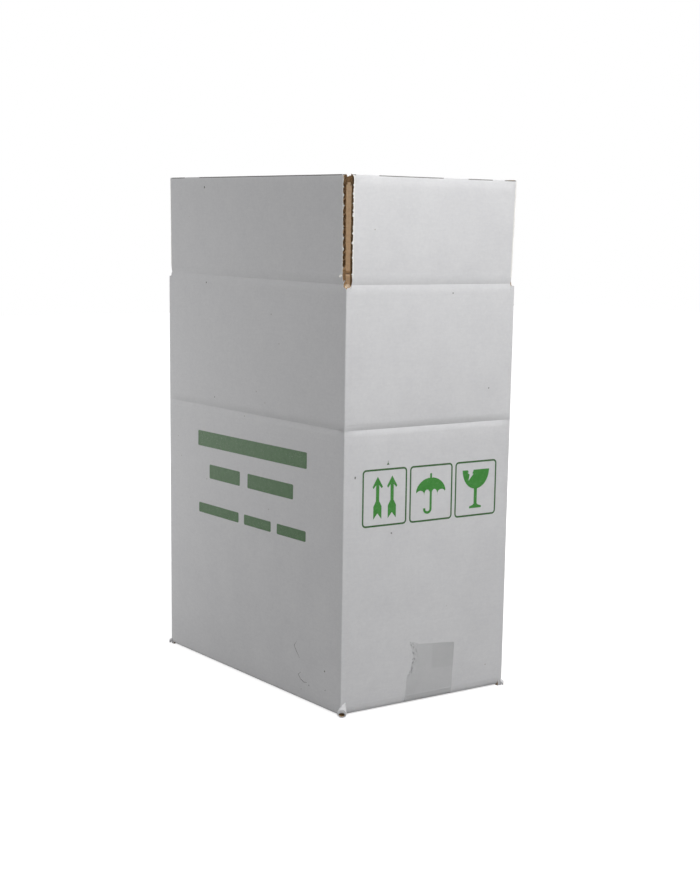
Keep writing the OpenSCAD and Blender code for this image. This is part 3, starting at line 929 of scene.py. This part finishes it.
def makeCornerRoll(name):
    sx, sy, size, forward, aside = cornerRoll["corners"][name]
    halfWide, halfTall = cornerRoll["half"]
    bm = bmesh.new()
    loop = bmesh.ops.create_circle(bm, segments=cornerRoll["segments"], radius=1)["verts"]
    edges = list({e for v in loop for e in v.link_edges})
    out = Vector((sx, sy, 0)).normalized()
    across = up.cross(out)
    centre = Vector((sx * caseHigh.x, sy * (caseHigh.y - aside * mm), halfTall * size + cornerRoll["lift"]))
    centre += out * forward * mm
    ring = {v: (v.co.x, v.co.y) for v in loop}
    for i, step in enumerate(cornerRoll["steps"]):
        if i:
            grown = bmesh.ops.extrude_edge_only(bm, edges=edges)["geom"]
            fresh = [g for g in grown if isinstance(g, bmesh.types.BMVert)]
            edges = [g for g in grown if isinstance(g, bmesh.types.BMEdge)
                    and all(v in fresh for v in g.verts)]
            for face in (g for g in grown if isinstance(g, bmesh.types.BMFace)):
                face.material_index = cutFace if i >= cornerRoll["bare"] else outerFace
            ring = {v: min(ring.values(), key=lambda p: (p[0] - v.co.x) ** 2 + (p[1] - v.co.y) ** 2)
                    for v in fresh}
        for v, (cx, cy) in ring.items():
            v.co = Vector((cx, cy, step[0]))  # a plain tube, until the roll is whole
    for face in bmesh.ops.contextual_create(bm, geom=edges)["faces"]:
        face.material_index = cutFace
    for v in bm.verts:
        cx, cy, distance = v.co
        _, wide, tall, sink = min(cornerRoll["steps"], key=lambda s: abs(s[0] - distance))
        wobble = cornerRoll["wobble"] * noiseAt(cx * 1.6 + 9 * sx, cy * 1.6 + 5 * sy, distance * 0.8)
        rise = (cy * tall * halfTall - sink * mm + cornerRoll["climb"] * distance ** 2) * size
        v.co = centre + across * (cx * wide * halfWide * size) + up * rise
        v.co += out * (distance * size * mm + wobble) + (across * cx + up * cy) * wobble
        v.co.z = max(v.co.z, cornerRoll["floor"])
    bmesh.ops.recalc_face_normals(bm, faces=bm.faces)
    roll = toObject(bm, name + "CornerRoll", boardFinishes, paperAngle)
    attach(roll, "case")


for cornerName in cornerRoll["corners"]:
    makeCornerRoll(cornerName)
print("corner rolls done")

# frayed lips: the knife pulled the outer liner's fibres past the cut ends of the flaps; their white is partly
# a painted highlight
fray = {"inside": 0.8 * mm, "short": 0.05 * mm, "long": 1.5 * mm, "lift": 0.06 * mm, "curl": 0.9 * mm,
        "step": 0.6 * mm, "from": 7 * mm, "below": 0.5 * mm, "room": 0.35 * mm, "liner": 0.12 * mm}


def makeFray(name):
    panel = panels[name]
    bm = bmesh.new()
    tall = panel["flapLong"] - fray["from"]
    rows = int(tall / fray["step"])
    for side in (-1, 1):
        trim = panel["trim"][side > 0]
        for vert in bmesh.ops.create_grid(bm, x_segments=3, y_segments=rows, size=1)["verts"]:
            share, h = 0.5 + 0.5 * vert.co.x, fray["from"] + (0.5 + 0.5 * vert.co.y) * (tall - fray["below"])
            pull = noiseAt(h * 260, side * 7, panel["seed"])
            pull = max(0.0, pull + 0.8 * noiseAt(h * 900, side * 3, panel["seed"] + 2))
            reach = min(fray["short"] + fray["long"] * pull, trim + fray["room"])
            u = side * (panel["flapHalf"] - trim - fray["inside"] + share * (fray["inside"] + reach))
            over = smooth((share - 0.5) * 2)
            vert.co = onFlapFace(panel, u, h, fray["lift"] - over * fray["curl"] * pull)
    bm.normal_update()
    bmesh.ops.reverse_faces(bm, faces=[f for f in bm.faces if f.normal.dot(panel["out"]) < 0])
    bmesh.ops.solidify(bm, geom=bm.faces, thickness=fray["liner"])
    lip = toObject(bm, name + "FlapFray", [tornFibreHighlight], paperAngle)
    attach(lip, panel["flap"])


for panelName in panels:
    makeFray(panelName)
print("frayed lips done")

# scraps of torn paper left in the slots, the two at the top of the near slot darkened as painted shade, and a
# dark sheet of painted shade on the back flap: centre, direction it stands out in, its long side, half sizes,
# finish, body and seed
scraps = {
    "nearSlotScrap": ((130.6, -79.8, 328.4), (1, -1, 0.25), (0.15, -0.1, 1), (2.6, 2.6), kraftLiner,
                      "case", 3),
    # the flake is whitened partly as a painted highlight
    "nearSlotFlake": ((126.7, -82.9, 337.3), (0.7, -0.7, 0.25), (2.6, 0, 4.5), (0.75, 1.4), tornFibreHighlight,
                      "front_flap", 14),
    # a dark sheet in the medium darkened as painted shade
    "backShadeSheet": ((-98.4, 83.95, 415.2), (0.05, -1, 0.45), (0, 0.45, 1), (6.2, 3.6), shadedMedium,
                     "back_flap", 52),
    # the top of the near slot: scraps in the medium darkened as painted shade
    "nearSlotFrontShadeScrap": ((128.2, -80.5, 406.2), (1, -0.75, -0.3), (0, 0, 1), (1.3, 3.8), shadedMedium,
                           "front_flap", 41),
    "nearSlotEndShadeScrap": ((131.6, -77.5, 406.0), (1, -0.75, -0.3), (0, 0, 1), (1.3, 3.9), shadedMedium,
                         "right_flap", 43),
    "farRightScrap": ((131.0, 79.8, 328.4), (1, 1, 0.2), (0.1, 0.2, 1), (1.5, 1.9), kraftLiner, "case", 21),
    "nearLeftScrap": ((-130.9, -79.9, 328.4), (-1, -1, 0.2), (-0.2, 0.1, 1), (1.6, 2.0), kraftLiner,
                      "case", 27),
    "farLeftScrap": ((-130.8, 79.9, 328.3), (-1, 1, 0.25), (0.1, 0.1, 1), (1.5, 2.1), kraftLiner, "case", 36)}
tornPaper = {"thick": 0.25 * mm, "crumple": 0.5 * mm, "rough": 0.45, "edge": 1.6, "middle": 0.6,
             "corner": 0.25}


def makeScrap(name):
    place, out, tall, (halfWide, halfTall), finish, body, seed = scraps[name]
    out, tall = Vector(out).normalized(), Vector(tall)
    tall = (tall - out * tall.dot(out)).normalized()
    wide = tall.cross(out)
    bm = bmesh.new()
    bmesh.ops.create_grid(bm, x_segments=6, y_segments=8, size=1)
    for vert in bm.verts:
        x, y, _ = vert.co
        torn = tornPaper["edge"] if max(abs(x), abs(y)) > 0.99 else tornPaper["middle"]
        ragged = 1 + tornPaper["rough"] * noiseAt(x * 2.2, y * 2.2, seed) * torn
        ragged *= 1 - tornPaper["corner"] * abs(x * y)
        crumple = tornPaper["crumple"] * noiseAt(x * 1.4, y * 1.1, seed + 5)
        flat = (wide * x * halfWide + tall * y * halfTall) * ragged
        vert.co = (Vector(place) + flat) * mm + out * crumple
    grown = bmesh.ops.extrude_face_region(bm, geom=list(bm.faces), use_keep_orig=True)["geom"]
    fresh = [g for g in grown if isinstance(g, bmesh.types.BMVert)]
    bmesh.ops.translate(bm, vec=-out * tornPaper["thick"], verts=fresh)
    bmesh.ops.recalc_face_normals(bm, faces=bm.faces)
    scrap = toObject(bm, name, [finish], paperAngle)
    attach(scrap, body)


for scrapName in scraps:
    makeScrap(scrapName)
print("scraps done")

# plain studio: pale floor, white to the camera; a softbox high on the right, two weaker ones on the left, one
# high in front and one behind; lamps are place, aim, size and watts
studio = {"ambient": 0.1, "floorColour": "#B4B4B4", "floorHalf": 5, "floorRoughness": 0.9,
          "floorLift": (0.74, 1.0), "liftReach": (0.3, 0.9),
          "lamps": {"rightBox": ((0.7, 0.05, 0.95), (0.13, 0, 0.3), (0.6, 0.6), 7.7),
                    "leftBox": ((-0.75, -0.6, 0.4), (-0.1, -0.08, 0.15), (0.4, 0.4), 1.05),
                    "lowBox": ((-0.62, -0.42, 0.12), (-0.1, -0.08, 0.12), (0.4, 0.2), 0.9),
                    "frontTop": ((0.45, -0.9, 1.9), (0, -0.05, 0.3), (1.2, 1.2), 8.5),
                    "backBox": ((-0.7, 0.9, 1.1), (-0.05, 0.05, 0.3), (0.7, 0.7), 8)}}
white = (1, 1, 1, 1)


def makeWorld():
    world = bpy.data.worlds.new("studioWorld")
    world.use_nodes = True
    scene.world = world
    tree = world.node_tree
    seen = addNode(tree, "LightPath", {}, "Is Camera Ray")
    for ray in ("Is Glossy Ray", "Is Transmission Ray"):
        seen = addNode(tree, "Math", {0: seen, 1: addNode(tree, "LightPath", {}, ray)}, operation="MAXIMUM")
    level = addNode(tree, "MapRange", {"Value": seen, "To Min": studio["ambient"], "To Max": 1.0})
    plug(tree, tree.nodes["Background"], {"Color": white, "Strength": level})


def makeFloor():
    mat, tree, skin, place = newMaterial("studio floor, painted matt")
    seen = addNode(tree, "LightPath", {}, "Is Camera Ray")
    away = addNode(tree, "VectorMath", {0: place}, "Value", operation="LENGTH")
    lift = addNode(tree, "MapRange", (away, studio["liftReach"][0], studio["liftReach"][1],
            studio["floorLift"][0], studio["floorLift"][1]), interpolation_type="SMOOTHSTEP")
    glow = addNode(tree, "Math", {0: seen, 1: lift}, operation="MULTIPLY")
    plug(tree, skin, {"Base Color": linear(studio["floorColour"]), "Roughness": studio["floorRoughness"],
            "Emission Color": white, "Emission Strength": glow})
    bm = bmesh.new()
    bmesh.ops.create_grid(bm, x_segments=2, y_segments=2, size=studio["floorHalf"])
    floor = toObject(bm, "studioFloor", [mat])


def makeLamp(name):
    place, aim, size, watts = studio["lamps"][name]
    data = bpy.data.lights.new(name, "AREA")
    data.shape = "RECTANGLE"
    data.size, data.size_y = size
    data.energy = watts
    lamp = bpy.data.objects.new(name, data)
    lamp.visible_camera = False
    turn = (Vector(aim) - Vector(place)).to_track_quat("-Z", "Y").to_matrix()
    lamp.matrix_world = Matrix.Translation(place) @ turn.to_4x4()
    scene.collection.objects.link(lamp)


makeWorld()
makeFloor()
for lampName in studio["lamps"]:
    makeLamp(lampName)
print("studio set")
